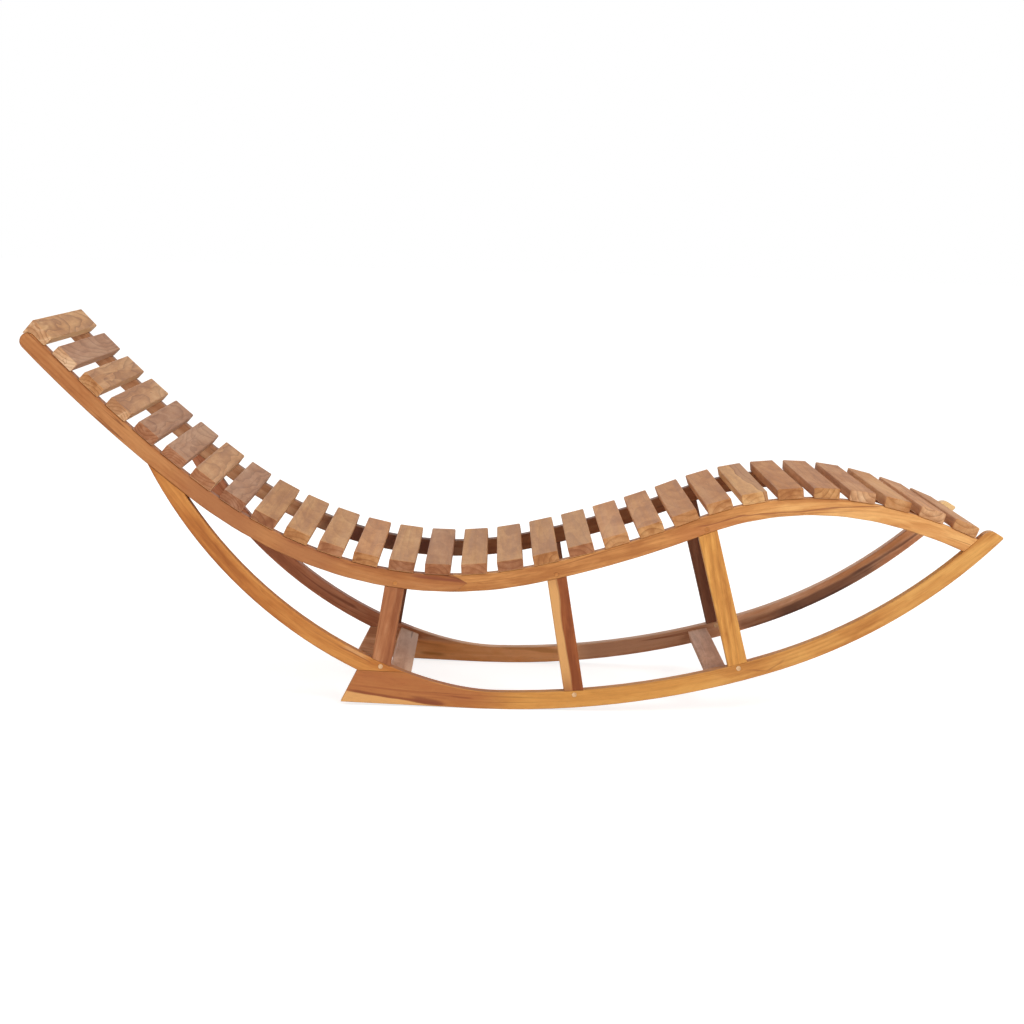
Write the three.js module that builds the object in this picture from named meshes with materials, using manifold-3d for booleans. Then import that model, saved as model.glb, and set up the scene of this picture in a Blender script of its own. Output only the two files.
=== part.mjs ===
import * as THREE from "three";
import { mergeVertices } from "three/addons/utils/BufferGeometryUtils.js";
import Module from "manifold-3d";

// Rocking chaise lounge in solid teak, in millimetres.
// X runs from the head end to the foot end, Y runs across the seat and Z points up.
// The frames are drawn round the lowest point of the rocker arc, which is the origin of the drawing.
// The last step leans the finished lounge back onto its rest flats and centres it.

// Fits and edges, shared by all pieces
const clearance = 0.3; // gap between two pieces that meet
const edge_ease = 1.5; // chamfer along the long edges of a board
const overrun = 90; // length by which a cutting shape passes the piece that it cuts

// Side frames
const seat_width = 600; // across the outer faces of both side frames
const board_thickness = 32; // of every board in a side frame, along Y

// Rockers: a flat to rest on, two arcs that rise to the foot end and a straight tail behind
const rocker_depth = 31;
const rest_flat = 56;
const rest_lean = 1.8; // degrees that the empty lounge leans back, to balance over the flat
const rocker_radius = 1610;
const front_arc_radius = 1022;
const front_arc_start = 464; // in front of the lowest point of the arc
const rocker_facet = 40;
const foot_reach = 37; // of the lower edge beyond the seat rail
const foot_cut_angle = 104; // between the rocker's run and its end cut
const foot_round = 20;
const tip_round = 3;
const round_steps = 6;

// Tail of the rocker, with the straight seat that carries the brace
const tail_lift = 1.4; // degrees between the tail and the ground when the lounge rests
const tail_reach = 331; // from the lowest point back to the tip
const tail_depth = 60;
const tail_cut_angle = 27.8; // from the vertical
const sweep_end = 45; // from the lowest point back to where the tail's sweep ends
const sweep_steps = 10;
const sweep_handle_share = 1 / 3;

// Seat rails: top edge as arcs that run back and forward from the lowest point
const rail_depth = 31;
const seat_low_height = 247.8;
const seat_low_setback = 121.2; // from the rocker's lowest point back to the seat's
const hollow_radius = 689;
const hollow_back_run = 248;
const hollow_front_run = 132.6;
const lumbar_radius = 805;
const lumbar_run = 243;
const back_radius = 2611;
const back_run = 410;
const thigh_radius = 1942;
const thigh_run = 323;
const knee_radius = 584;
const knee_run = 353;
const calf_radius = 851;
const head_round_steps = 10;

// Splice of the two boards of a seat rail, a V that points forward
const splice_step = 132.2; // along X, from the rear post's head to the tip of the V
const splice_run = 25;

// Slats
const slat_count = 29;
const slat_width = 46.8;
const slat_thickness = 19.3;
const slat_ease = 1.6;
const slat_end_ease = 0.8;
const slat_end_reach = 3; // beyond the outer face of each side frame
const slat_spacing_share = 2 / 3; // height in the slat's thickness at which the spacing is even
const head_slat_reach = 5; // beyond the rounded head of the seat rail
const last_slat_margin = 6; // from the last slat to the rocker
const nosing_drop = 10.8; // of the head slat's outer edge below the rail's top edge
const nosing_land = 2.4;

// Brace from the back of the seat rail to the tail
const brace_depth = 31;
const brace_radius = 848.5;
const brace_setback = 596; // from the seat rail's lowest point, along its top edge
const brace_facet = 30;

// Posts, with a tenon and a pin at each end; a lean is the step along X from foot to head
const post_width = 36;
const rear_post_seat = 15.6; // depth of the brace between the rear post's foot and the tail
const rear_post_lean = 25;
const middle_post_foot = 95;
const middle_post_lean = -30;
const front_post_foot = 394.5;
const front_post_lean = -55;
const tenon_width = 22;
const tenon_thickness = 11;
const tenon_length = 18;
const rear_foot_tenon_length = 34; // passes the brace and enters the tail
const pin_radius = 4.2;
const pin_inset = 7.5; // from the shoulder of the tenon
const pin_sides = 16;

// Stretchers between the side frames
const stretcher_width = 38;
const stretcher_thickness = 20;
const stretcher_inset = 6; // of the top face below the rocker's top edge
const stub_width = 24;
const stub_thickness = 8;
const stub_length = 8;

const wasm = await Module();
wasm.setup();

const radians = THREE.MathUtils.degToRad;
const point = (x, z) => new THREE.Vector2(x, z);
const along = (heading) => point(Math.cos(heading), Math.sin(heading));
const above = (heading) => point(-Math.sin(heading), Math.cos(heading));

// Point that lies a run along a direction and a rise along another from a start
function moved(start, run, direction) {
  return start.clone().addScaledVector(direction, run);
}

// Solids from closed geometries, and geometries from solids
function solid(geometry) {
  const bare = geometry.clone();
  bare.deleteAttribute("normal");
  bare.deleteAttribute("uv");
  const merged = mergeVertices(bare);
  return new wasm.Manifold(
    new wasm.Mesh({
      numProp: 3,
      vertProperties: merged.attributes.position.array,
      triVerts: new Uint32Array(merged.index.array),
    }),
  );
}

function geometryOf(body) {
  const mesh = body.getMesh();
  const geometry = new THREE.BufferGeometry();
  geometry.setAttribute("position", new THREE.BufferAttribute(mesh.vertProperties, mesh.numProp));
  geometry.setIndex(new THREE.BufferAttribute(mesh.triVerts, 1));
  const flat = geometry.toNonIndexed();
  flat.computeVertexNormals();
  return flat;
}

// Board cut from an outline in X and Z, with its thickness centred on Y
function board(outline, thickness, ease) {
  const geometry = new THREE.ExtrudeGeometry(new THREE.Shape(outline), {
    depth: thickness - 2 * ease,
    steps: 1,
    bevelEnabled: ease > 0,
    bevelThickness: ease,
    bevelSize: ease,
    bevelOffset: -ease,
    bevelSegments: 1,
  });
  geometry.translate(0, 0, ease - thickness / 2);
  geometry.rotateX(Math.PI / 2);
  return geometry;
}

// Cutting solid over an outline, wider than a side frame
function cutter(outline) {
  return solid(board(outline, board_thickness + 2 * overrun, 0));
}

// Rectangle round an axis from one point to another
function bar(from, to, width) {
  const run = to.clone().sub(from).normalize();
  const side = point(-run.y, run.x).multiplyScalar(width / 2);
  return [
    from.clone().sub(side),
    to.clone().sub(side),
    to.clone().add(side),
    from.clone().add(side),
  ];
}

// Arc that rounds the corner between two neighbours
function rounded(before, corner, after, radius) {
  const back = before.clone().sub(corner).normalize();
  const on = after.clone().sub(corner).normalize();
  const half = Math.acos(THREE.MathUtils.clamp(back.dot(on), -1, 1)) / 2;
  const reach = radius / Math.tan(half);
  const middle = back.clone().add(on).normalize();
  const centre = moved(corner, radius / Math.sin(half), middle);
  const first = moved(corner, reach, back).sub(centre);
  const last = moved(corner, reach, on).sub(centre);
  const turn = Math.atan2(first.cross(last), first.dot(last));
  const arc = [];
  for (let step = 0; step <= round_steps; step += 1) {
    arc.push(first.clone().rotateAround(point(0, 0), (turn * step) / round_steps).add(centre));
  }
  return arc;
}

// Line moved to its left by a distance
function offset(line, distance) {
  return line.map((here, index) => {
    const before = line[Math.max(index - 1, 0)];
    const after = line[Math.min(index + 1, line.length - 1)];
    const run = after.clone().sub(before).normalize();
    return moved(here, distance, point(-run.y, run.x));
  });
}

// Outline of all that lies below or above a line
function below(line) {
  const floor = Math.min(...line.map((here) => here.y)) - overrun;
  return [point(line[0].x, floor), point(line.at(-1).x, floor), ...line.slice().reverse()];
}

function aloft(line) {
  const roof = Math.max(...line.map((here) => here.y)) + overrun;
  return [...line, point(line.at(-1).x, roof), point(line[0].x, roof)];
}

// Value between two bounds at which a rising function passes zero
const halvings = 60;

function crossing(low, high, measure) {
  let from = low;
  let to = high;
  for (let pass = 0; pass < halvings; pass += 1) {
    const middle = (from + to) / 2;
    if (measure(middle) > 0) to = middle;
    else from = middle;
  }
  return (from + to) / 2;
}

// Rocker arcs, by heading and height above the lower edge
const front_heading = Math.asin(front_arc_start / rocker_radius);
const rear_centre = point(0, rocker_radius);
const front_centre = moved(rear_centre, front_arc_radius - rocker_radius, above(front_heading));

function rockerPoint(heading, height) {
  const in_front = heading > front_heading;
  const centre = in_front ? front_centre : rear_centre;
  const radius = (in_front ? front_arc_radius : rocker_radius) - height;
  return moved(centre, -radius, above(heading));
}

function headings(from, to) {
  const steps = Math.ceil(((to - from) * rocker_radius) / rocker_facet);
  const list = [];
  for (let step = 0; step <= steps; step += 1) {
    list.push(from + ((to - from) * step) / steps);
  }
  return list;
}

// Top edge of the seat rail, by distance forward of its lowest point
const back_arcs = [
  { bend: 1 / hollow_radius, run: hollow_back_run },
  { bend: 1 / lumbar_radius, run: lumbar_run },
  { bend: 1 / back_radius, run: back_run },
];
const front_arcs = [
  { bend: 1 / hollow_radius, run: hollow_front_run },
  { bend: 1 / thigh_radius, run: thigh_run },
  { bend: -1 / knee_radius, run: knee_run },
  { bend: -1 / calf_radius, run: Infinity },
];

function seatPlace(station) {
  const back = station < 0;
  const place = { at: point(-seat_low_setback, seat_low_height), heading: 0 };
  let left = Math.abs(station);
  for (const arc of back ? back_arcs : front_arcs) {
    const run = Math.min(left, arc.run);
    const heading = place.heading + (back ? -run : run) * arc.bend;
    place.at.x += (Math.sin(heading) - Math.sin(place.heading)) / arc.bend;
    place.at.y -= (Math.cos(heading) - Math.cos(place.heading)) / arc.bend;
    place.heading = heading;
    left -= run;
  }
  return place;
}

function seatPoint(station, height) {
  const place = seatPlace(station);
  return moved(place.at, height, above(place.heading));
}

const head_station = -(hollow_back_run + lumbar_run + back_run);
const rail_reach = hollow_front_run + thigh_run + 2 * knee_run;

// Station at which a line at some height along the rail meets the rocker's top edge
function railEnd(height) {
  const top_radius = front_arc_radius - rocker_depth;
  return crossing(hollow_front_run + thigh_run, rail_reach, (station) => {
    return seatPoint(station, height).distanceTo(front_centre) - top_radius;
  });
}

const foot_station = railEnd(0);
const foot_meeting = seatPoint(foot_station, 0).sub(front_centre);
const foot_heading = Math.atan2(foot_meeting.x, -foot_meeting.y);
const tip_heading = foot_heading + foot_reach / front_arc_radius;

// Slat stations, spaced evenly along a line inside the slats
const head_radius = rail_depth / 2;
const first_slat = head_station - head_radius - head_slat_reach + slat_width / 2;
const last_slat = foot_station - last_slat_margin - slat_width / 2;
const spacing_height = slat_thickness * slat_spacing_share;
const evenRun = (station) => station - spacing_height * seatPlace(station).heading;
const slat_pitch = (evenRun(last_slat) - evenRun(first_slat)) / (slat_count - 1);
const slat_stations = [];
for (let slat = 0; slat < slat_count; slat += 1) {
  const run = evenRun(first_slat) + slat * slat_pitch;
  slat_stations.push(
    crossing(head_station - overrun, foot_station + overrun, (station) => evenRun(station) - run),
  );
}

// Seat rail stations: both edges of each slat, so that each slat lies on a flat
const rail_stations = [head_station];
for (const station of slat_stations) {
  for (const edge of [station - slat_width / 2, station + slat_width / 2]) {
    if (edge > head_station) rail_stations.push(edge);
  }
}
rail_stations.push(foot_station + overrun);
const rail_top = rail_stations.map((station) => seatPoint(station, 0));
const rail_under = rail_stations.map((station) => seatPoint(station, -rail_depth));
const above_rail_under = cutter(aloft(offset(rail_under, -clearance)));

// Tail: tip, upper corner and the straight seat of the brace
const tail_heading = -radians(rest_lean + tail_lift);
const tail_start = rockerPoint(tail_heading, 0);
const tail_run = (tail_reach + tail_start.x) / Math.cos(tail_heading);
const tail_tip = moved(tail_start, -tail_run, along(tail_heading));
const tail_cut = Math.PI / 2 - radians(tail_cut_angle);
const tail_cut_length = tail_depth / Math.sin(tail_cut - tail_heading);
const tail_corner = moved(tail_tip, tail_cut_length, along(tail_cut));

// Brace arcs: the outer one runs from the seat rail's underside to the tail's upper corner
const brace_top = seatPoint(-brace_setback, -rail_depth);
const brace_chord = tail_corner.clone().sub(brace_top);
const brace_rise = Math.sqrt(brace_radius ** 2 - brace_chord.lengthSq() / 4);
const brace_middle = brace_top.clone().lerp(tail_corner, 1 / 2);
const brace_inward = point(-brace_chord.y, brace_chord.x).normalize();
const brace_centre = moved(brace_middle, brace_rise, brace_inward);
const brace_inner_radius = brace_radius - brace_depth;

// Point where the brace's inner edge meets the straight seat of the tail
const seat_run = along(tail_heading);
const from_centre = tail_corner.clone().sub(brace_centre);
const half_chord = Math.sqrt(
  from_centre.dot(seat_run) ** 2 - from_centre.lengthSq() + brace_inner_radius ** 2,
);
const brace_toe = moved(tail_corner, -from_centre.dot(seat_run) - half_chord, seat_run);

function braceAngle(place) {
  return Math.atan2(place.x - brace_centre.x, brace_centre.y - place.y);
}

function braceInside(angle) {
  return moved(brace_centre, -brace_inner_radius, above(angle));
}

function braceArc(radius, from, to) {
  const steps = Math.ceil(((to - from) * radius) / brace_facet);
  const arc = [];
  for (let step = 0; step <= steps; step += 1) {
    arc.push(moved(brace_centre, -radius, above(from + ((to - from) * step) / steps)));
  }
  return arc;
}

const brace_start = braceAngle(brace_top) - overrun / brace_radius;
const brace_inner = braceArc(brace_inner_radius, brace_start, braceAngle(brace_toe));

// Sweep from the brace's inner edge into the top edge of the rocker
const sweep_heading = -Math.asin(sweep_end / (rocker_radius - rocker_depth));
const sweep_foot = rockerPoint(sweep_heading, rocker_depth);
const sweep_handle = brace_toe.distanceTo(sweep_foot) * sweep_handle_share;
const sweep = new THREE.CubicBezierCurve(
  brace_toe,
  moved(brace_toe, sweep_handle, along(braceAngle(brace_toe))),
  moved(sweep_foot, -sweep_handle, along(sweep_heading)),
  sweep_foot,
).getPoints(sweep_steps);

// Top edge of a side frame below the seat, from the brace to past the rocker's end
const rocker_top = headings(sweep_heading, foot_heading).map((heading) => {
  return rockerPoint(heading, rocker_depth);
});
const rocker_top_past = headings(foot_heading, foot_heading + (2 * overrun) / front_arc_radius)
  .slice(1)
  .map((heading) => rockerPoint(heading, rocker_depth));
const frame_top = [
  ...brace_inner,
  ...sweep.slice(1),
  ...rocker_top.slice(1),
  ...rocker_top_past,
];
const below_frame_top = cutter(below(offset(frame_top, clearance)));
const below_rocker_top = cutter(below(offset([...rocker_top, ...rocker_top_past], clearance)));

// Point on a line at a place along X
function pointAt(line, x) {
  const next = line.findIndex((here) => here.x > x);
  const before = line[next - 1];
  const after = line[next];
  return before.clone().lerp(after, (x - before.x) / (after.x - before.x));
}

// Outline of the rocker
function rockerOutline() {
  const half_flat = rest_flat / 2 / rocker_radius;
  const flat_heading = -radians(rest_lean);
  const rising = headings(flat_heading + half_flat, tip_heading);
  const lower = [tail_heading, flat_heading - half_flat, ...rising].map((heading) => {
    return rockerPoint(heading, 0);
  });
  const tip = lower.pop();
  const cut_run = along(tip_heading + radians(foot_cut_angle));
  const end_corner = moved(tip, rocker_depth / Math.sin(radians(foot_cut_angle)), cut_run);
  const reach = foot_round / Math.tan(radians(foot_cut_angle) / 2);
  const top_end = moved(end_corner, -reach, along(tip_heading));
  const top = rocker_top.filter((here) => here.x < top_end.x - tip_round);
  return [
    tail_tip,
    ...lower,
    ...rounded(lower.at(-1), tip, end_corner, tip_round),
    ...rounded(tip, end_corner, top_end, foot_round),
    ...top.slice().reverse(),
    ...sweep.slice(0, -1).reverse(),
    tail_corner,
  ];
}

// Outline of the seat rail, with its round head
function railOutline() {
  const head = seatPlace(head_station);
  const centre = moved(head.at, -head_radius, above(head.heading));
  const round = [];
  for (let step = 1; step < head_round_steps; step += 1) {
    const turn = (Math.PI * step) / head_round_steps;
    round.push(moved(centre, head_radius, above(head.heading + turn)));
  }
  return [...rail_top.slice().reverse(), ...round, ...rail_under];
}

// Outline of the brace, longer at both ends than the finished board
function braceOutline() {
  const past = overrun / brace_radius;
  const outer = braceArc(brace_radius, brace_start, braceAngle(tail_corner) + past);
  const toe_angle = braceAngle(brace_toe);
  const inner_past = braceArc(brace_inner_radius, toe_angle, toe_angle + past).slice(1);
  return [...outer, ...[...brace_inner, ...inner_past].reverse()];
}

// Cutting solid below the straight seat of the tail
function belowTailSeat() {
  const lift = above(tail_heading).multiplyScalar(clearance);
  const from = moved(tail_corner, -2 * overrun, seat_run).add(lift);
  const to = moved(brace_toe, 2 * overrun, seat_run).add(lift);
  return cutter(below([from, to]));
}

// Posts: axis from the frame's top edge to the seat rail's underside
function post(name, foot_x, lean, foot_tenon_length) {
  const foot = pointAt(frame_top, foot_x);
  const head = pointAt(rail_under, foot_x + lean);
  const run = head.clone().sub(foot).normalize();
  return {
    name,
    foot,
    head,
    run,
    foot_end: moved(foot, -foot_tenon_length, run),
    head_end: moved(head, tenon_length, run),
    foot_pin: moved(foot, -pin_inset, run),
    head_pin: moved(head, pin_inset, run),
  };
}

// Point of the brace's inner edge that lies at the depth of the rear post's seat over the tail
const seat_up = above(tail_heading);
const seat_angle = crossing(brace_start, braceAngle(brace_toe), (angle) => {
  return rear_post_seat - braceInside(angle).sub(tail_corner).dot(seat_up);
});

const posts = [
  post("rear", braceInside(seat_angle).x, rear_post_lean, rear_foot_tenon_length),
  post("middle", middle_post_foot, middle_post_lean, tenon_length),
  post("front", front_post_foot, front_post_lean, tenon_length),
];

// Tenon through the length of a post, with room to spare on every side
function tenon(part, room) {
  const outline = bar(
    moved(part.foot_end, -room, part.run),
    moved(part.head_end, room, part.run),
    tenon_width + 2 * room,
  );
  return solid(board(outline, tenon_thickness + 2 * room, 0));
}

function pinGeometry(radius, length) {
  return new THREE.CylinderGeometry(radius, radius, length, pin_sides);
}

function pinHole(place) {
  const hole = pinGeometry(pin_radius + clearance, board_thickness + 2 * overrun);
  return solid(hole.translate(place.x, 0, place.y));
}

const pin_holes = posts.flatMap((part) => [pinHole(part.foot_pin), pinHole(part.head_pin)]);
const mortises = posts.map((part) => tenon(part, clearance));

function postSolid(part) {
  const from = moved(part.foot, -overrun, part.run);
  const to = moved(part.head, overrun, part.run);
  const blank = solid(board(bar(from, to, post_width), board_thickness, edge_ease));
  const body = cut(blank, [below_frame_top, above_rail_under]);
  return cut(body.add(tenon(part, 0)), pin_holes);
}

function cut(body, tools) {
  return tools.reduce((left, tool) => left.subtract(tool), body);
}

// Stretchers: each lies against a post and along the frame's top edge
function stretcher(name, part, direction) {
  const lean = Math.abs(part.run.y);
  const step = direction * (post_width / 2 / lean + clearance + stretcher_width / 2);
  const contact = pointAt(frame_top, part.foot.x + step);
  const near = pointAt(frame_top, contact.x - stretcher_width / 2);
  const far = pointAt(frame_top, contact.x + stretcher_width / 2);
  const heading = Math.atan2(far.y - near.y, far.x - near.x);
  const centre = moved(contact, -stretcher_inset - stretcher_thickness / 2, above(heading));
  return { name, centre, heading };
}

const stretchers = [
  stretcher("stretcher_rear", posts[0], 1),
  stretcher("stretcher_front", posts[2], -1),
];

const inner_span = seat_width - 2 * board_thickness;

function stretcherSolid() {
  const back = point(-stretcher_width / 2, 0);
  const front = point(stretcher_width / 2, 0);
  const outline = bar(back, front, stretcher_thickness);
  const body = solid(board(eased(outline, edge_ease), inner_span - 2 * clearance, 0));
  return body.add(stub(0));
}

// Stub tenons of a stretcher, both ends in one bar
function stub(room) {
  const back = point(-stub_width / 2 - room, 0);
  const front = point(stub_width / 2 + room, 0);
  const outline = bar(back, front, stub_thickness + 2 * room);
  return solid(board(outline, inner_span + 2 * (stub_length + room), 0));
}

// Outline with each corner cut by a chamfer
function eased(corners, ease) {
  return corners.flatMap((corner, index) => {
    const before = corners.at(index - 1);
    const after = corners[(index + 1) % corners.length];
    const back = before.clone().sub(corner).normalize();
    const on = after.clone().sub(corner).normalize();
    return [moved(corner, ease, back), moved(corner, ease, on)];
  });
}

// Splice: all in front of the V, or all behind it, moved by a distance
const splice_x = posts[0].head.x + splice_step;
const splice_station = crossing(head_station, foot_station, (station) => {
  return seatPlace(station).at.x - splice_x;
});

function spliceCutter(towards_foot, shift) {
  const heading = seatPlace(splice_station).heading;
  const tip = moved(seatPoint(splice_station, -rail_depth / 2), shift, along(heading));
  const reach = towards_foot ? rail_reach : head_station;
  const at = (run, rise) => moved(moved(tip, run, along(heading)), rise, above(heading));
  const wide = rail_reach;
  const leg = -2 * splice_run;
  const outline = [
    tip,
    at(leg, rail_depth),
    at(leg, wide),
    at(reach * 2, wide),
    at(reach * 2, -wide),
    at(leg, -wide),
    at(leg, -rail_depth),
  ];
  return cutter(outline);
}

const splice_slant = Math.atan(rail_depth / 2 / splice_run);
const splice_shift = clearance / 2 / Math.sin(splice_slant);

// Slat sections, in a frame whose base line is the rail's top edge
function slatSection() {
  const middle = clearance + slat_thickness / 2;
  const outline = bar(point(-slat_width / 2, middle), point(slat_width / 2, middle), slat_thickness);
  return eased(outline, slat_ease);
}

// Head slat: its outer edge laps over the round head of the rail
function headSlatSection() {
  const cope = head_radius + clearance;
  const outer = -head_radius - head_slat_reach;
  const inner = outer + slat_width;
  const high = clearance + slat_thickness;
  const tip_turn = Math.acos(THREE.MathUtils.clamp((head_radius - nosing_drop) / cope, -1, 1));
  const arc = [];
  for (let step = 0; step <= round_steps; step += 1) {
    const turn = (tip_turn * step) / round_steps;
    arc.push(moved(point(0, -head_radius), cope, above(turn)));
  }
  const toe = point(arc.at(-1).x - nosing_land, arc.at(-1).y);
  const top_back = point(outer, high);
  const top_front = point(inner, high);
  const low_back = point(outer, clearance);
  const low_front = point(inner, clearance);
  const back_edge = eased([top_back, toe, top_front], slat_ease).slice(0, 2);
  const front_edge = eased([low_back, low_front, top_front, top_back], slat_ease).slice(2, 6);
  return [...back_edge, toe, ...arc.reverse(), ...front_edge];
}

function slatFrame(station) {
  const from = seatPoint(Math.max(station - slat_width / 2, head_station), 0);
  const to = seatPoint(station + slat_width / 2, 0);
  const run = to.clone().sub(from);
  return { from, middle: from.clone().lerp(to, 1 / 2), heading: Math.atan2(run.y, run.x) };
}

// Colours of the wood
const rail_wood = 0xc27a42;
const rocker_wood = 0xc4803f;
const brace_wood = 0xbd743c;
const slat_wood = 0xb08d6c;
const rear_post_wood = 0xb06a43;
const middle_post_wood = 0xb56e42;
const front_post_wood = 0xc98a48;
const stretcher_wood = 0x9a7b66;
const pin_wood = 0xe2b277;
const teak_roughness = 0.62;
const teak_metalness = 0;
const post_woods = [rear_post_wood, middle_post_wood, front_post_wood];

function piece(name, geometry, colour) {
  const material = new THREE.MeshStandardMaterial({
    color: colour,
    roughness: teak_roughness,
    metalness: teak_metalness,
  });
  const mesh = new THREE.Mesh(geometry, material);
  mesh.name = name;
  return mesh;
}

// One side frame, centred on its own thickness
function sideFrame(side, inward) {
  const group = new THREE.Group();
  const stubs = stretchers.map((part) => {
    const geometry = geometryOf(stub(clearance));
    geometry.rotateY(-part.heading);
    geometry.translate(part.centre.x, (inward * (seat_width - board_thickness)) / 2, part.centre.y);
    return solid(geometry);
  });

  const rocker = solid(board(rockerOutline(), board_thickness, edge_ease));
  const rocker_body = cut(rocker, [...mortises, ...pin_holes, ...stubs]);
  group.add(piece(`rocker_${side}`, geometryOf(rocker_body), rocker_wood));

  const brace = solid(board(braceOutline(), board_thickness, edge_ease));
  const brace_tools = [above_rail_under, belowTailSeat(), ...mortises, ...pin_holes, ...stubs];
  group.add(piece(`brace_${side}`, geometryOf(cut(brace, brace_tools)), brace_wood));

  const rail = solid(board(railOutline(), board_thickness, edge_ease));
  const rail_body = cut(rail, [below_rocker_top, ...mortises, ...pin_holes]);
  const back = cut(rail_body, [spliceCutter(true, -splice_shift)]);
  const front = cut(rail_body, [spliceCutter(false, splice_shift)]);
  group.add(piece(`seat_rail_back_${side}`, geometryOf(back), rail_wood));
  group.add(piece(`seat_rail_front_${side}`, geometryOf(front), rail_wood));

  posts.forEach((part, index) => {
    const body = postSolid(part);
    group.add(piece(`post_${part.name}_${side}`, geometryOf(body), post_woods[index]));
    for (const [end, place] of [["foot", part.foot_pin], ["head", part.head_pin]]) {
      const shape = pinGeometry(pin_radius, board_thickness);
      const pin = piece(`pin_${part.name}_${end}_${side}`, shape, pin_wood);
      pin.position.set(place.x, 0, place.y);
      group.add(pin);
    }
  });

  group.position.y = (-inward * (seat_width - board_thickness)) / 2;
  return group;
}

const lounge = new THREE.Group();
lounge.add(sideFrame("right", 1));
lounge.add(sideFrame("left", -1));

for (const part of stretchers) {
  const mesh = piece(part.name, geometryOf(stretcherSolid()), stretcher_wood);
  mesh.position.set(part.centre.x, 0, part.centre.y);
  mesh.rotation.y = -part.heading;
  lounge.add(mesh);
}

slat_stations.forEach((station, index) => {
  const first = index === 0;
  const frame = slatFrame(station);
  const section = first ? headSlatSection() : slatSection();
  const place = first ? frame.from : frame.middle;
  const number = String(index + 1).padStart(2, "0");
  const shape = board(section, seat_width + 2 * slat_end_reach, slat_end_ease);
  const mesh = piece(`slat_${number}`, shape, slat_wood);
  mesh.position.set(place.x, 0, place.y);
  mesh.rotation.y = -frame.heading;
  lounge.add(mesh);
});

// The finished lounge leans back onto its rest flats, stands on the ground and is centred
lounge.rotation.y = -radians(rest_lean);
lounge.updateMatrixWorld(true);
const bounds = new THREE.Box3().setFromObject(lounge, true);
lounge.position.set(-(bounds.min.x + bounds.max.x) / 2, 0, -bounds.min.z);

const group = new THREE.Group();
group.add(lounge);
export default group;
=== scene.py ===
import functools
import math
import random

import bpy
from mathutils import Matrix, Vector


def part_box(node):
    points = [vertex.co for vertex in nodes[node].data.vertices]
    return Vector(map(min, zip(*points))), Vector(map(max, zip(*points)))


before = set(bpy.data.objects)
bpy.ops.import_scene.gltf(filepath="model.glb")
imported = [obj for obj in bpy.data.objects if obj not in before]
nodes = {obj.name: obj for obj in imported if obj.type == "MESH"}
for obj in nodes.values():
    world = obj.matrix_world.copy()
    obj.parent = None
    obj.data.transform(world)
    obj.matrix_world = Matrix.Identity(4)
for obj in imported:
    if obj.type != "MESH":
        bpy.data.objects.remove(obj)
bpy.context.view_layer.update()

SEED = 2786
X, Y, Z = (1, 0, 0), (0, 1, 0), (0, 0, 1)
rng = random.Random(SEED)


# Camera, fitted to the side frame nearest to it: metres, degrees and pixels

CAMERA_AT = (-0.03546, -5.62897, 0.90100)
CAMERA_YAW = 0.395
CAMERA_PITCH = 5.7694
CAMERA_ROLL = 1.6055
CAMERA_FOCAL_PX = 2951.2
CAMERA_REACH = 60
IMAGE_PX = 1024
SENSOR_MM = 36.0


def add_camera():
    yaw, pitch, roll = (math.radians(a) for a in (CAMERA_YAW, CAMERA_PITCH, CAMERA_ROLL))
    flat = math.cos(pitch)
    forward = Vector((math.sin(yaw) * flat, math.cos(yaw) * flat, -math.sin(pitch)))
    level = Vector((math.cos(yaw), -math.sin(yaw), 0))
    upright = level.cross(forward)
    right = level * math.cos(roll) + upright * math.sin(roll)
    up = upright * math.cos(roll) - level * math.sin(roll)
    data = bpy.data.cameras.new("camera")
    data.sensor_width = SENSOR_MM
    data.lens = CAMERA_FOCAL_PX * SENSOR_MM / IMAGE_PX
    data.clip_end = CAMERA_REACH
    camera = bpy.data.objects.new("camera", data)
    turn = Matrix((right, up, -forward)).transposed().to_4x4()
    camera.matrix_world = Matrix.Translation(Vector(CAMERA_AT)) @ turn
    bpy.context.scene.collection.objects.link(camera)
    bpy.context.scene.camera = camera


# Short forms for shader nodes and colours

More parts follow.
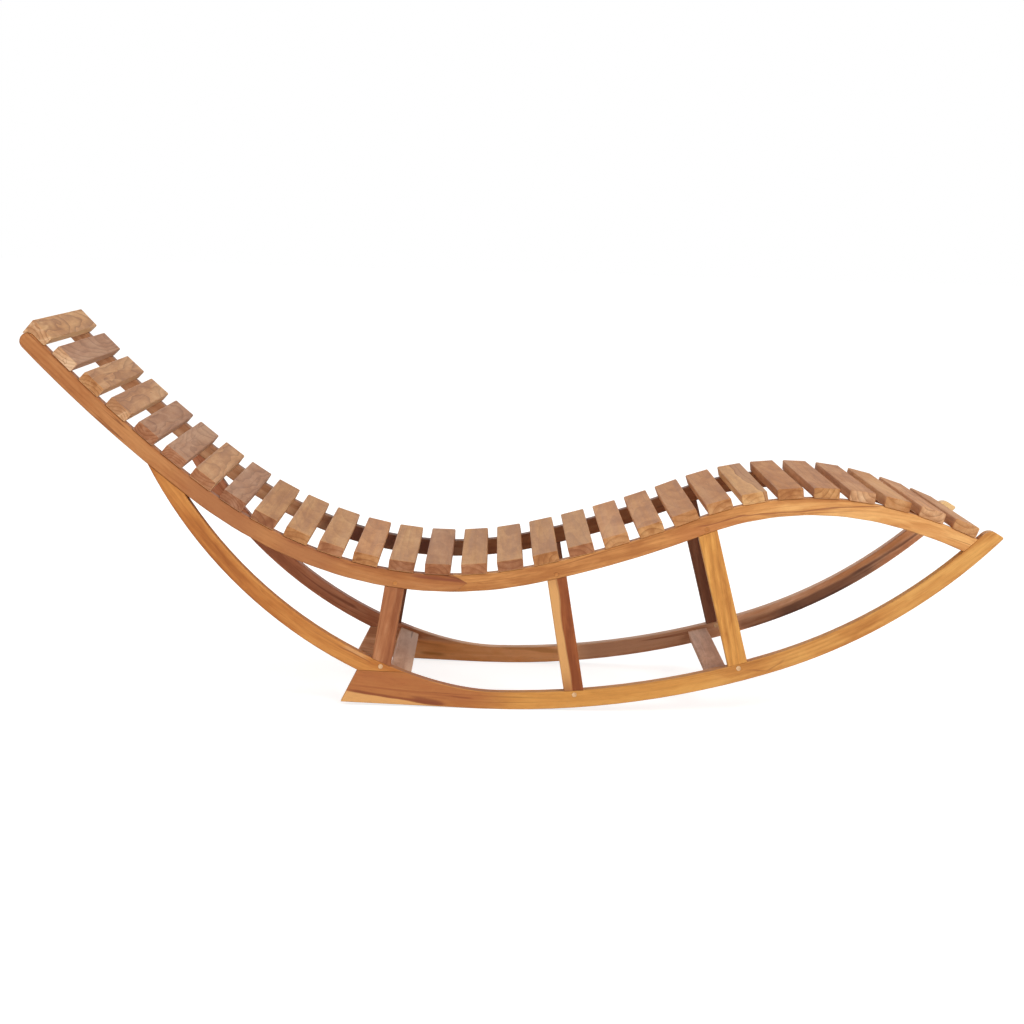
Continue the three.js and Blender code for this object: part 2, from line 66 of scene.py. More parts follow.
class Graph:
    """A new node tree in a material or a world."""

    def __init__(self, owner):
        owner.use_nodes = True
        self.tree = owner.node_tree
        self.tree.nodes.clear()

    def add(self, kind, inputs=None, **settings):
        """A node with its settings, and with values or sources for its inputs."""
        node = self.tree.nodes.new(kind)
        for key, value in settings.items():
            setattr(node, key, value)
        for key, value in (inputs or {}).items():
            if isinstance(value, bpy.types.NodeSocket):
                self.tree.links.new(value, node.inputs[key])
            else:
                node.inputs[key].default_value = value
        return node

    def shader(self, kind, **inputs):
        return self.add(kind, inputs).outputs[0]

    def either(self, factor, first, second):
        """The first shader where the factor is 0, the second where it is 1."""
        return self.add("ShaderNodeMixShader", {0: factor, 1: first, 2: second}).outputs[0]

    def math(self, operation, *values, clamp=False):
        node = self.add("ShaderNodeMath", dict(enumerate(values)), operation=operation,
                        use_clamp=clamp)
        return node.outputs[0]

    def product(self, *values):
        return functools.reduce(lambda a, b: self.math("MULTIPLY", a, b), values)

    def weighed(self, *pairs):
        """Sum of values times their weights."""
        terms = [self.math("MULTIPLY", value, weight) for value, weight in pairs]
        return functools.reduce(lambda a, b: self.math("ADD", a, b), terms)

    def centred(self, noise):
        return self.math("SUBTRACT", noise, 0.5)

    def apart(self, value, level):
        return self.math("ABSOLUTE", self.math("SUBTRACT", value, level))

    def vector(self, operation, *values):
        node = self.add("ShaderNodeVectorMath", dict(enumerate(values)), operation=operation)
        return node.outputs[0]

    def dot(self, vector, axis):
        node = self.add("ShaderNodeVectorMath", {0: vector, 1: tuple(axis)},
                        operation="DOT_PRODUCT")
        return node.outputs["Value"]

    def combine(self, *values):
        return self.add("ShaderNodeCombineXYZ", dict(enumerate(values))).outputs[0]

    def noise(self, place, along, across, detail, rough, distort):
        scaled = self.vector("MULTIPLY", place, (along, across, across))
        node = self.add("ShaderNodeTexNoise", {"Vector": scaled, "Scale": 1.0, "Detail": detail,
                                               "Roughness": rough, "Distortion": distort})
        return node.outputs["Fac"]

    def remap(self, value, low, high, to_low=0.0, to_high=1.0, smooth=False):
        node = self.add("ShaderNodeMapRange",
                        {"Value": value, "From Min": low, "From Max": high, "To Min": to_low,
                         "To Max": to_high},
                        interpolation_type="SMOOTHSTEP" if smooth else "LINEAR")
        return node.outputs["Result"]

    def mix(self, factor, a, b, blend="MIX"):
        """Mixes two colours. The node's sockets for colours are 6, 7 and 2."""
        node = self.add("ShaderNodeMix", {0: factor, 6: a, 7: b}, data_type="RGBA",
                        blend_type=blend)
        return node.outputs[2]

    def ramp(self, value, stops):
        node = self.add("ShaderNodeValToRGB", {"Fac": value})
        band = node.color_ramp
        band.elements[0].position, band.elements[0].color = stops[0]
        band.elements[1].position, band.elements[1].color = stops[-1]
        for position, colour in stops[1:-1]:
            band.elements.new(position).color = colour
        return node.outputs["Color"]


def srgb(value):
    value /= 255
    return value / 12.92 if value <= 0.04045 else ((value + 0.055) / 1.055) ** 2.4


def tint(code):
    return (srgb(code >> 16 & 255), srgb(code >> 8 & 255), srgb(code & 255), 1)


def grey(value):
    return (value, value, value, 1)


# Lamps: name, place, aim, width of the disk, watts and colour

LAMPS = [
    ("key", (3.0, -4.8, 3.4), (0, 0, 0.3), 2.4, 180, (1.0, 0.97, 0.93)),
    ("fill", (-3.2, -4.4, 2.0), (-0.2, 0, 0.3), 2.8, 45, (0.97, 0.98, 1.0)),
    ("back", (-2.4, 4.8, 3.2), (0, 0, 0.3), 2.8, 40, (1.0, 0.98, 0.96)),
]

# Sky: strength up to the horizon and overhead, and how high a direction has the full strength
SKY_COLOUR = (1.0, 0.975, 0.945, 1)
SKY_LOW = 0.34
SKY_HIGH = 0.66
SKY_RISE = 0.8

# Floor: what the camera sees, which keeps the shadow, and the grey that lights the part
FLOOR_SHARE = 0.5
FLOOR_GLOW = 0.8
FLOOR_BOUNCE = 0.9
FLOOR_HALF = 40.0
FLOOR_DROP = -0.0006


def add_lamp(name, at, aim, width, watts, colour):
    data = bpy.data.lights.new(name, "AREA")
    data.shape = "DISK"
    data.size = width
    data.energy = watts
    data.color = colour
    lamp = bpy.data.objects.new(name, data)
    lamp.location = at
    lamp.rotation_euler = (Vector(aim) - Vector(at)).to_track_quat("-Z", "Y").to_euler()
    bpy.context.scene.collection.objects.link(lamp)


def add_world():
    """A soft sky that the camera and mirrored rays see as plain white."""
    world = bpy.data.worlds.new("studio")
    bpy.context.scene.world = world
    g = Graph(world)
    path = g.add("ShaderNodeLightPath").outputs
    seen = g.math("MAXIMUM", path["Is Camera Ray"], path["Is Glossy Ray"])
    seen = g.math("MAXIMUM", seen, path["Is Transmission Ray"])
    direction = g.add("ShaderNodeTexCoord").outputs["Generated"]
    height = g.add("ShaderNodeSeparateXYZ", {0: direction}).outputs["Z"]
    strength = g.remap(height, 0.0, SKY_RISE, SKY_LOW, SKY_HIGH, smooth=True)
    light = g.shader("ShaderNodeBackground", Color=SKY_COLOUR, Strength=strength)
    white = g.shader("ShaderNodeBackground", Color=grey(1), Strength=1)
    g.add("ShaderNodeOutputWorld", {"Surface": g.either(seen, light, white)})


def add_floor():
    """White paper that shows the part's shadow."""
    material = bpy.data.materials.new("floor_white")
    g = Graph(material)
    path = g.add("ShaderNodeLightPath").outputs
    paper = g.shader("ShaderNodeBsdfDiffuse", Color=grey(FLOOR_SHARE))
    glow = g.shader("ShaderNodeEmission", Color=grey(1), Strength=FLOOR_GLOW)
    both = g.add("ShaderNodeAddShader", {0: paper, 1: glow}).outputs[0]
    plain = g.shader("ShaderNodeBsdfDiffuse", Color=grey(FLOOR_BOUNCE))
    surface = g.either(path["Is Camera Ray"], plain, both)
    g.add("ShaderNodeOutputMaterial", {"Surface": surface})
    half = FLOOR_HALF
    mesh = bpy.data.meshes.new("floor")
    mesh.from_pydata([(-half, -half, 0), (half, -half, 0), (half, half, 0), (-half, half, 0)],
                     [], [(0, 1, 2, 3)])
    mesh.materials.append(material)
    floor = bpy.data.objects.new("floor", mesh)
    floor.location.z = FLOOR_DROP
    bpy.context.scene.collection.objects.link(floor)


# Wood: growth rings round a pith, streaks, pores and end grain, all along the board's own grain

# Noise in the board's frame: waves per metre along the grain and across it, detail,
# roughness and distortion
TEXTURES = {
    "wave": (2.6, 9.0, 3.0, 0.5, 0.0),
    "ripple": (9.0, 42.0, 2.0, 0.5, 0.0),
    "spacing": (1.2, 34.0, 1.0, 0.5, 0.0),
    "zone": (1.1, 16.0, 2.0, 0.5, 0.0),
    "streak": (1.8, 90.0, 3.0, 0.55, 0.0),
    "fine": (14.0, 620.0, 3.0, 0.6, 0.0),
    "pores": (70.0, 2300.0, 2.0, 0.5, 0.0),
    "figure": (6.0, 26.0, 2.0, 0.5, 0.8),
    "mottle": (24.0, 95.0, 2.0, 0.6, 0.6),
    "vein": (0.9, 36.0, 2.0, 0.5, 0.0),
}
# Each board takes its noise from another place, at most this far away in each direction
SHIFT = 4

# The textures that make the tone, and where the ramp is dark, middling and light
TONES = ("zone", "streak", "figure", "mottle", "fine")
TONE_STOPS = (0.18, 0.5, 0.82)

# Rings of a piece that names none of its own, and the ripple's share of their wander
RING_GAP = 0.007
RING_TILT = (0.012, 0.02)
RIPPLE_SHARE = 0.2

# What a value turns into: low, high, result at low and result at high
RING_EDGE = (0.93, 1.0, 1.0, 0.0)
RING_PATCHES = (0.35, 0.65, 1.25, 0.55)
PORE_RANGE = (0.60, 0.72, 0.0, 1.0)
END_FACES = (0.55, 0.9, 0.0, 1.0)
VEIN_PATCHES = (0.45, 0.6, 0.15, 1.0)
PALE_PATCHES = (0.4, 0.55, 0.0, 1.0)
# Patches of the painted sheen on upper faces, which is partly weathering
BLEACH_AND_PAINTED_SHEEN_PATCHES = (0.35, 0.65, 0.4, 1.0)
# Patches of the painted bounce light on lower faces
PAINTED_BOUNCE_PATCHES = (0.35, 0.65, 0.7, 1.0)
SCUFF_FACES = (-0.9, -0.98, 0.0, 0.35)
SCUFF_PATCHES = (0.4, 0.6, 0.2, 1.0)
# Painted highlight along the eased edges, where they are also rubbed smoother
RUB_HIGHLIGHT_EDGES = (0.08, 0.16, 1.0, 0.0)
RUB_HIGHLIGHT_PATCHES = (0.4, 0.62, 0.08, 0.38)

# Low and high, where the results are the wood's own
UPPER_FACES = (0.5, 0.95)
LOWER_FACES = (-0.2, -0.55)
SATIN_RANGE = (0.3, 0.7)

# Lines where a noise passes a level: the level and the half width
VEIN_LINE = (0.6, 0.016)
PALE_LINE = (0.43, 0.022)

# How far the eased edges slant from the face, and the strength of the pores' colour
EDGE_SLANT = 0.707
PORE_COLOUR_SHARE = 0.3

# Changes to the roughness, shares of the relief, and the relief's strength and depth
SATIN_SPREAD = (-0.05, 0.07)
PORE_ROUGH = 0.14
END_ROUGH = 0.12
RUB_ROUGH = -0.1
FINE_HEIGHT = 0.5
PORE_HEIGHT = -0.9
LATE_HEIGHT = 0.35
BUMP_STRENGTH = 0.35
BUMP_DISTANCE = 0.0003

# The ends of a mark fade over this length and so many half widths, at most over this part
# of its length, and its line is waved by this much
MARK_FADE = 0.02
MARK_FADE_HALVES = 3
MARK_FADE_PART = 1 / 3
MARK_WAVE = 0.012


def board_axes(grain, face):
    """Directions along the grain, across the face and through it."""
    along = Vector(grain).normalized()
    through = Vector(face)
    through = (through - along * through.dot(along)).normalized()
    across = through.cross(along)
    return along, across, through


def board_place(g, place, centre, axes, bend):
    """Distances from the middle along the grain, across the face and through it."""
    from_centre = g.vector("SUBTRACT", place, tuple(centre))
    run, across, through = (g.dot(from_centre, axis) for axis in axes)
    if bend:
        slope, bow, sway = bend
        swung = g.math("ADD", g.math("MULTIPLY", run, sway), bow)
        swung = g.math("ADD", g.math("MULTIPLY", swung, run), slope)
        across = g.math("SUBTRACT", across, g.math("MULTIPLY", swung, run))
    return run, across, through


def late_wood(g, style, noise, run, sides, pith, tilt, ring):
    """Where growth rings turn dark, by the distance from a slightly tilted and waved pith."""
    wander = g.weighed((g.centred(noise["wave"]), style["wander"]),
                       (g.centred(noise["ripple"]), style["wander"] * RIPPLE_SHARE))
    from_pith = [g.math("ADD", g.math("SUBTRACT", side, at), g.math("MULTIPLY", run, lean))
                 for side, at, lean in zip(sides, pith, tilt)]
    square = g.weighed(*((side, side) for side in from_pith))
    turns = g.math("DIVIDE", g.math("ADD", g.math("SQRT", square), wander), ring)
    uneven = g.math("MULTIPLY", noise["spacing"], style["uneven"])
    phase = g.math("FRACT", g.math("ADD", turns, uneven))
    return g.product(g.math("POWER", phase, style["crisp"]),
                     g.remap(phase, *RING_EDGE, smooth=True))


def base_colour(g, style, noise):
    """Light and dark wood by broad zones, streaks and mottle."""
    tone = g.weighed(*((noise[key], style[key]) for key in TONES))
    middle = sum(style[key] for key in TONES) / 2
    tone = g.math("ADD", g.math("SUBTRACT", tone, middle), 0.5, clamp=True)
    shades = (style["dark"], style["mid"], style["light"])
    return g.ramp(tone, list(zip(TONE_STOPS, shades)))


def lines(g, noise, line, strength):
    level, half = line
    return g.remap(g.apart(noise, level), 0.0, half, strength, 0.0, smooth=True)


def ringed(g, colour, style, noise, late, end):
    """Late wood, stronger where the rings are cut across, and a few long dark and pale lines."""
    strength = g.remap(end, 0.0, 1.0, style["rings"], style["end_rings"])
    patchy = g.product(late, g.remap(noise["zone"], *RING_PATCHES))
    colour = g.mix(g.math("MULTIPLY", patchy, strength, clamp=True), colour, style["late"])
    vein = g.product(lines(g, noise["vein"], VEIN_LINE, style["veins"]),
                     g.remap(noise["figure"], *VEIN_PATCHES, smooth=True))
    colour = g.mix(vein, colour, style["late"])
    pale = g.product(lines(g, noise["zone"], PALE_LINE, style["pales"]),
                     g.remap(noise["streak"], *PALE_PATCHES, smooth=True))
    return g.mix(pale, colour, style["light"])


def laid(g, colour, place, wave, mark):
    """A streak or a strip of other wood over the colour, between two places in X and Z."""
    (x0, z0), (x1, z1), half, soft, shade, strength = mark
    run = Vector((x1 - x0, 0, z1 - z0))
    length = run.length
    run.normalize()
    side = Vector((-run.z, 0, run.x))
    offset = g.vector("SUBTRACT", place, (x0, 0, z0))
    on = g.dot(offset, run)
    off = g.math("ABSOLUTE", g.math("ADD", g.dot(offset, side), wave))
    inside = g.remap(off, half - soft, half + soft, strength, 0.0, smooth=True)
    fade = min(MARK_FADE + MARK_FADE_HALVES * half, length * MARK_FADE_PART)
    start = g.remap(on, 0.0, fade, 0.0, 1.0, smooth=True)
    finish = g.remap(on, length - fade, length, 1.0, 0.0, smooth=True)
    return g.mix(g.product(start, finish, inside), colour, tint(shade))


def wear_and_painted_light(g, colour, style, noise, normal):
    """Upper faces a little bleached, partly weathering and partly a painted sheen; lower faces
    paler, a painted bounce light from the floor below; undersides a little scuffed.
    """
    level = g.dot(normal, Z)
    for faces, patches, shade in (
        # Painted sheen: upper faces turn paler and greyer, partly as weathering
        (g.remap(level, *UPPER_FACES, 0.0, style["bleach"], smooth=True),
         g.remap(noise["wave"], *BLEACH_AND_PAINTED_SHEEN_PATCHES), style["weathered"]),
        # Painted bounce light: lower faces turn paler, as if lit from the floor below
        (g.remap(level, *LOWER_FACES, 0.0, style["painted_bounce_light"], smooth=True),
         g.remap(noise["wave"], *PAINTED_BOUNCE_PATCHES), style["light"]),
        (g.remap(level, *SCUFF_FACES, smooth=True),
         g.remap(noise["fine"], *SCUFF_PATCHES), style["pore"]),
    ):
        colour = g.mix(g.product(faces, patches), colour, shade)
    return colour


def wood(node, style, grain, face, pith, tilt=RING_TILT, ring=RING_GAP, bend=()):
    """Oiled teak for one piece: pith and tilt of the rings, their gap, and the grain's bend."""
    material = bpy.data.materials.new("teak_" + node)
    g = Graph(material)
    place = g.add("ShaderNodeTexCoord").outputs["Object"]
    normal = g.add("ShaderNodeNewGeometry").outputs["True Normal"]
    axes = board_axes(grain, face)
    run, across, through = board_place(g, place, middle_of(node), axes, bend)
    shift = tuple(rng.uniform(-SHIFT, SHIFT) for _ in range(3))
    moved = g.vector("ADD", g.combine(run, across, through), shift)
    noise = {key: g.noise(moved, *numbers) for key, numbers in TEXTURES.items()}
    pores = g.remap(noise["pores"], *PORE_RANGE, smooth=True)
    end = g.remap(g.math("ABSOLUTE", g.dot(normal, axes[0])), *END_FACES, smooth=True)
    late = late_wood(g, style, noise, run, (across, through), pith, tilt, ring)

    colour = ringed(g, base_colour(g, style, noise), style, noise, late, end)
    wave = g.math("MULTIPLY", g.centred(noise["ripple"]), MARK_WAVE)
    for mark in MARKS.get(node, ()):
        colour = laid(g, colour, place, wave, mark)
    for mark in OWN_MARKS.get(node, ()):
        colour = laid(g, colour, g.combine(run, 0.0, across), wave, mark)
    colour = g.mix(g.math("MULTIPLY", pores, PORE_COLOUR_SHARE), colour, style["pore"])
    end_colour = g.mix(1.0, colour, style["end_tint"], "MULTIPLY")
    colour = g.mix(g.math("MULTIPLY", end, style["end"]), colour, end_colour)
    colour = wear_and_painted_light(g, colour, style, noise, normal)

    # The eased edges are painted paler, a painted highlight along them, and are rubbed a little
    # smoother
    slant = g.apart(g.math("ABSOLUTE", g.dot(normal, axes[2])), EDGE_SLANT)
    rubbed_and_highlit = g.product(g.remap(slant, *RUB_HIGHLIGHT_EDGES, smooth=True),
                       g.remap(noise["figure"], *RUB_HIGHLIGHT_PATCHES), g.math("SUBTRACT", 1.0, end))
    colour = g.mix(rubbed_and_highlit, colour, style["light"])

    satin = g.remap(noise["streak"], *SATIN_RANGE, *(style["rough"] + s for s in SATIN_SPREAD))
    gloss = g.weighed((satin, 1.0), (pores, PORE_ROUGH), (end, END_ROUGH), (rubbed_and_highlit, RUB_ROUGH))
    height = g.weighed((noise["fine"], FINE_HEIGHT), (pores, PORE_HEIGHT), (late, LATE_HEIGHT))
    bump = g.add("ShaderNodeBump", {"Strength": BUMP_STRENGTH, "Distance": BUMP_DISTANCE,
                                    "Height": height})
    shader = g.add("ShaderNodeBsdfPrincipled", {
        "Base Color": colour, "Roughness": gloss, "Specular IOR Level": style["shine"],
        "Normal": bump.outputs[0]})
    g.add("ShaderNodeOutputMaterial", {"Surface": shader.outputs[0]})
    return material


# Shares of the middle colour, by channel, in the palest, the darkest and the late wood

PALE_SHARES = (1.28, 1.55, 1.85)
DARK_SHARES = (0.66, 0.54, 0.46)
LATE_SHARES = (0.44, 0.31, 0.25)

# Contrasts of those shares, shape of the rings, shares of the tones, strengths of the
# features, colours, gloss, and the range of gaps between the rings of a slat
BOARD_LOOK = dict(
    contrast=0.95, late_contrast=1.0,
    wander=0.010, uneven=0.8, crisp=2.6,
    zone=1.3, streak=0.8, figure=0.9, mottle=0.6, fine=0.25,
    rings=0.24, end_rings=0.5, veins=0.8, pales=0.3, end=0.8, bleach=0.12, painted_bounce_light=0.0,
    end_tint=0xF4E6DA, pore=0x5A3520, weathered=0xA98F7C,
    rough=0.55, shine=0.3, gap=(0.008, 0.012),
)
SLAT_LOOK = dict(
    contrast=0.85, late_contrast=0.75,
    wander=0.012, uneven=0.5, crisp=3.2,
    zone=1.2, streak=0.7, figure=0.8, mottle=0.4,
    # The slats' lower faces are painted much paler, a painted bounce light from the floor, and
    # their upper faces take a painted sheen
    rings=0.45, end_rings=0.9, veins=0.4, pales=0.15, end=0.9, bleach=0.14, painted_bounce_light=0.95,
    weathered=0xB8946F, rough=0.62, shine=0.2,
)
RINGED_END = dict(end_rings=0.9, late_contrast=0.9)
CURLY = dict(wander=0.034, rings=1.0, end_rings=1.0, veins=0.8, pales=0.5, late_contrast=0.85,
             gap=(0.0050, 0.0070))


def toned(middle, shares, contrast):
    tones = (value * (1 + (share - 1) * contrast) for value, share in zip(middle, shares))
    return tuple(min(tone, 1) for tone in tones) + (1,)


def look(code, **changes):
    """A kind of wood by the code of its middle colour."""
    style = {**BOARD_LOOK, **changes}
    middle = tint(code)[:3]
    style.update(
        light=toned(middle, PALE_SHARES, style["contrast"]),
        mid=middle + (1,),
        dark=toned(middle, DARK_SHARES, style["contrast"]),
        late=toned(middle, LATE_SHARES, style["late_contrast"]),
    )
    for key in ("end_tint", "pore", "weathered"):
        style[key] = tint(style[key])
    return style


def slat_look(code, **changes):
    return look(code, **{**SLAT_LOOK, **changes})


def with_end(style, code):
    """The same wood with ends of another colour."""
    ratio = tuple(end / middle for end, middle in zip(tint(code), style["mid"]))
    return {**style, "end_tint": ratio}


STRETCHER = look(0xD4A482, bleach=0.2)
PINS = {"foot": look(0xF0D0A6, veins=0.0, rings=0.1), "head": look(0xB9783F, veins=0.0, rings=0.1)}
# Darker wood for the far middle and front posts: partly their own colour, partly painted shade
# from the seat above them
FAR_POST = look(0x87573D)
SIDES = {
    "right": {
        "rocker": look(0xC38441),
        "brace": look(0xBA7334),
        "seat_rail_back": look(0xAE6D3B, contrast=0.85, veins=0.75),
        "seat_rail_front": look(0xD19253),
        "post_rear": look(0xA96A42),
        "post_middle": look(0x9F592D),
        "post_front": look(0xD29247, rings=0.35),
    },
    # The far side's front seat rail and posts take darker wood than the near side's: partly their
    # own colour, partly painted shade from the seat above them
    "left": {
        # Its upper faces are washed strongly pale: a painted highlight on its lit top face
        "rocker": look(0xD29870, veins=0.9, bleach=0.5, weathered=0xE6BE98),
        "brace": look(0xB06E4A, contrast=0.85),
        "seat_rail_back": look(0xA9754F),
        "seat_rail_front": look(0x8B542F),
        "post_rear": look(0x875133),
        "post_middle": FAR_POST,
        "post_front": FAR_POST,
    },
}
SLATS = {
    "tan": slat_look(0xC08956),
    "brown": slat_look(0xAE784F),
    "amber": slat_look(0xBA7C4A),
    "gold": slat_look(0xC48754, **RINGED_END),
    "rose": slat_look(0xBE8356, **RINGED_END),
    "faded": slat_look(0xD09463, **RINGED_END),
    "pale": slat_look(0xD29A62, wander=0.016, rings=0.25, end_rings=0.7),
    "curly": slat_look(0xC48E5F, **CURLY),
    "light": slat_look(0xD4A06C, **CURLY),
    "mauve": slat_look(0xAF7D5B, **CURLY),
}
SLAT_ENDS = {"pale": 0xCD9E75, "gold": 0xC5905C, "mid": 0xB67E4F, "brown": 0xA66E4C,
             "dark": 0x9A6547}

# Wood and colour of the ends of each slat, from the head to the foot
SLAT_ORDER = [
    ("light", "pale"), ("mauve", "pale"), ("curly", "mid"), ("curly", "pale"),
    ("mauve", "brown"), ("mauve", "brown"), ("curly", "brown"), ("mauve", "dark"),
    ("tan", "dark"), ("tan", "mid"), ("tan", "brown"), ("gold", "mid"),
    ("tan", "dark"), ("brown", "brown"), ("tan", "brown"), ("tan", "dark"),
    ("tan", "mid"), ("tan", "brown"), ("gold", "mid"), ("gold", "gold"),
    ("amber", "mid"), ("amber", "mid"), ("pale", "gold"), ("amber", "mid"),
    ("rose", "gold"), ("rose", "pale"), ("gold", "mid"), ("faded", "pale"),
    ("rose", "mid"),
]


# Marks that the photograph shows at certain places of the boards

SAP = 0xDFA869
DARK = 0x84452A
DEEP = 0x5E2D1A
UMBER = 0x5C3A2C
RUSSET = 0x9A5B38
FAWN = 0xAC7854

# Start and end in the part's X and Z, half width, softness, colour and strength
MARKS = {
    "rocker_right": [
        ((-0.520, 0.0580), (0.040, 0.0240), 0.034, 0.0240, 0xA9633A, 0.75),
        ((-0.040, 0.0130), (0.420, 0.0560), 0.024, 0.0160, 0xDD9F4E, 0.45),
        ((-0.427, 0.0216), (-0.020, -0.0286), 0.020, 0.0008, SAP, 0.9),
        ((-0.300, 0.0280), (-0.100, 0.0045), 0.0022, 0.0016, DARK, 0.8),
        ((-0.185, 0.0190), (-0.104, 0.0050), 0.0046, 0.0026, DARK, 0.8),
        ((-0.110, 0.0216), (-0.056, 0.0170), 0.0010, 0.0010, DARK, 0.75),
        ((-0.165, 0.0300), (-0.075, 0.0230), 0.0008, 0.0010, DARK, 0.45),
        ((0.430, 0.0830), (0.480, 0.0850), 0.0010, 0.0012, DARK, 0.5),
        ((0.468, 0.0800), (0.512, 0.1080), 0.0012, 0.0012, DARK, 0.5),
    ],
    "brace_right": [
        ((-0.305, 0.1110), (-0.250, 0.0835), 0.0044, 0.0008, 0xDFAE7A, 0.5),
        ((-0.318, 0.1115), (-0.240, 0.0735), 0.0010, 0.0008, DARK, 0.6),
        ((-0.365, 0.1400), (-0.270, 0.0880), 0.0009, 0.0010, DARK, 0.35),
    ],
    "seat_rail_back_right": [
        ((-0.640, 0.4150), (-0.420, 0.2980), 0.040, 0.0200, RUSSET, 0.55),
        ((-0.450, 0.3120), (-0.290, 0.2580), 0.040, 0.0200, RUSSET, 0.45),
        ((-0.420, 0.3050), (-0.290, 0.2600), 0.0012, 0.0012, DARK, 0.5),
        ((-0.310, 0.2620), (-0.066, 0.2320), 0.0012, 0.0012, DARK, 0.5),
        ((-0.175, 0.2450), (-0.068, 0.2320), 0.0060, 0.0040, 0x97552F, 0.6),
        ((-0.190, 0.2420), (-0.064, 0.2318), 0.0026, 0.0016, DARK, 0.8),
        ((-0.150, 0.2500), (-0.070, 0.2330), 0.0010, 0.0010, DEEP, 0.6),
    ],
    "seat_rail_front_right": [
        ((0.270, 0.3130), (0.470, 0.3600), 0.014, 0.0080, 0xB9713F, 0.5),
        ((0.330, 0.3400), (0.430, 0.3720), 0.0010, 0.0010, DARK, 0.7),
        ((0.400, 0.3665), (0.600, 0.3875), 0.0010, 0.0010, DARK, 0.7),
        ((0.565, 0.3860), (0.680, 0.3930), 0.0010, 0.0010, DARK, 0.7),
        ((0.450, 0.3700), (0.640, 0.3830), 0.0008, 0.0010, DARK, 0.4),
    ],
    "seat_rail_back_left": [
        # Near-black band: painted shade on the far back rail where it lies under the slats
        ((-0.440, 0.3050), (-0.020, 0.2350), 0.055, 0.0200, DEEP, 0.92),
    ],
    "post_middle_right": [
        ((0.0560, 0.2920), (0.1080, 0.0040), 0.020, 0.0010, SAP, 0.85),
        ((0.0830, 0.2500), (0.1220, 0.0350), 0.0010, 0.0010, DARK, 0.5),
    ],
    "rocker_left": [
        ((-0.180, 0.0160), (-0.112, 0.0108), 0.0034, 0.0024, DEEP, 0.8),
        ((-0.200, 0.0420), (-0.110, 0.0250), 0.0022, 0.0016, DARK, 0.6),
        ((-0.025, 0.0345), (0.125, 0.0235), 0.0042, 0.0024, DEEP, 0.6),
        ((0.790, 0.3100), (0.950, 0.4000), 0.0600, 0.0200, 0xF0CC90, 0.8),
    ],
}

# The same in a board's own frame: along its bent grain and across it, from its middle
OWN_MARKS = {
    "rocker_left": [
        ((-0.560, 0.1270), (-0.160, 0.1270), 0.020, 0.0040, 0xFFAE50, 0.42),
        ((-0.220, 0.1270), (0.150, 0.1270), 0.020, 0.0040, 0x8E5838, 0.55),
        ((0.120, 0.1290), (0.300, 0.1330), 0.0090, 0.0050, UMBER, 0.45),
        ((0.200, 0.1350), (0.470, 0.1345), 0.0105, 0.0030, UMBER, 0.72),
        ((0.150, 0.1420), (0.400, 0.1420), 0.0036, 0.0024, 0x3A1A10, 0.70),
        ((0.380, 0.1280), (0.600, 0.1265), 0.0028, 0.0020, UMBER, 0.70),
        ((0.330, 0.1165), (0.600, 0.1165), 0.0052, 0.0024, 0xC8864E, 0.50),
        ((0.430, 0.1390), (0.620, 0.1380), 0.0060, 0.0030, 0xA86A44, 0.60),
    ],
    "slat_23": [
        ((0.370, -0.0142), (0.050, -0.0120), 0.0125, 0.0010, FAWN, 0.75),
        ((0.130, -0.0118), (-0.380, -0.0325), 0.0125, 0.0010, FAWN, 0.75),
        ((0.340, -0.0016), (0.050, 0.0006), 0.0009, 0.0009, DARK, 0.7),
        ((0.090, 0.0008), (-0.330, -0.0176), 0.0009, 0.0009, DARK, 0.7),
        ((0.340, -0.0090), (0.080, -0.0070), 0.0008, 0.0008, DARK, 0.5),
        ((0.120, -0.0068), (-0.230, -0.0215), 0.0008, 0.0008, DARK, 0.5),
    ],
}


# Which way the grain of each piece runs, and where the rings of its tree lie

# Boards: heading of the grain in degrees, its bend (slope, bow and sway), pith and tilt
BOARDS = {
    "rocker": (13.5, (-0.020, 0.375, 0.10), (0.07, 0.05), (0.02, -0.01)),
    "brace": (-40.2, (-0.030, 0.60, 0.60), (-0.09, 0.04), (0.01, 0.01)),
    "seat_rail_back": (-29.8, (-0.045, 0.45, 0.38), (0.08, 0.05), (0.02, 0.01)),
    "seat_rail_front": (9.9, (0.080, -0.25, -0.65), (-0.06, 0.06), (0.03, 0.01)),
}

# Posts: run over rise
POST_LEANS = {"rear": 25 / 150, "middle": -30 / 222, "front": -55 / 258}
POST_RINGS = dict(pith=(0.05, 0.07), tilt=(0.02, 0.02))
PIN_RINGS = dict(pith=(0.004, 0.003), ring=0.0012)
STRETCHER_RINGS = dict(pith=(0.03, -0.06))

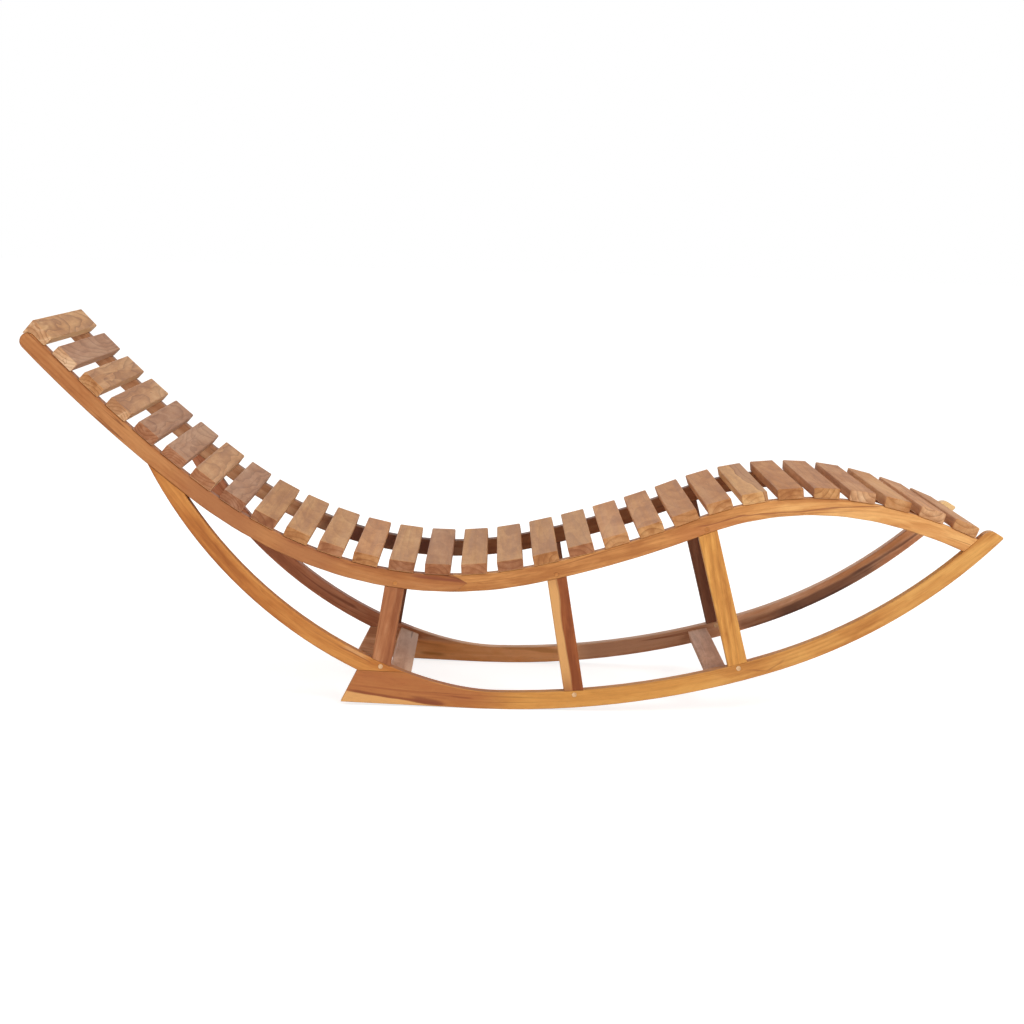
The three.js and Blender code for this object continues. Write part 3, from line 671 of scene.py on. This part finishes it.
# Slats: how far the pith lies aside at most, its least and greatest depth, and its most tilt
SLAT_PITH_ASIDE = 0.02
SLAT_PITH_DEPTH = (0.020, 0.050)
SLAT_TILT = (0.02, 0.06)
SLAT_FACE_RISE = 0.3


def middle_of(node):
    low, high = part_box(node)
    return (Vector(low) + Vector(high)) / 2


def heading(degrees):
    angle = math.radians(degrees)
    return (math.cos(angle), 0, math.sin(angle))


def upper_face(node):
    """Normal of the widest face that looks up."""
    faces = (face for face in nodes[node].data.polygons if face.normal.z > SLAT_FACE_RISE)
    return tuple(max(faces, key=lambda face: face.area).normal)


def dress(node, style, grain, face, **rings):
    material = wood(node, style, grain, face, **rings)
    mesh = nodes[node].data
    mesh.materials.clear()
    mesh.materials.append(material)


def dress_side(side, out):
    """Boards, posts and pins of one side frame, whose outer faces look along out in Y."""
    face = (0, out, 0)
    styles = SIDES[side]
    for board, (degrees, bend, pith, tilt) in BOARDS.items():
        bend = tuple(-out * value for value in bend)
        dress(f"{board}_{side}", styles[board], heading(degrees), face, bend=bend, pith=pith,
              tilt=tilt)
    for post, lean in POST_LEANS.items():
        dress(f"post_{post}_{side}", styles["post_" + post], (lean, 0, 1), face, **POST_RINGS)
        for end, style in PINS.items():
            dress(f"pin_{post}_{end}_{side}", style, Y, X, **PIN_RINGS)


def dress_slats():
    for number, (kind, end) in enumerate(SLAT_ORDER, 1):
        node = f"slat_{number:02d}"
        style = with_end(SLATS[kind], SLAT_ENDS[end])
        aside = rng.uniform(-SLAT_PITH_ASIDE, SLAT_PITH_ASIDE)
        depth = rng.choice((-1, 1)) * rng.uniform(*SLAT_PITH_DEPTH)
        tilt = tuple(rng.uniform(-most, most) for most in SLAT_TILT)
        ring = rng.uniform(*style["gap"])
        dress(node, style, Y, upper_face(node), pith=(aside, depth), tilt=tilt, ring=ring)


add_camera()
add_world()
add_floor()
for lamp in LAMPS:
    add_lamp(*lamp)
dress_side("right", -1)
dress_side("left", 1)
for node in ("stretcher_rear", "stretcher_front"):
    dress(node, STRETCHER, Y, Z, **STRETCHER_RINGS)
dress_slats()

view = bpy.context.scene.view_settings
view.view_transform = "Standard"
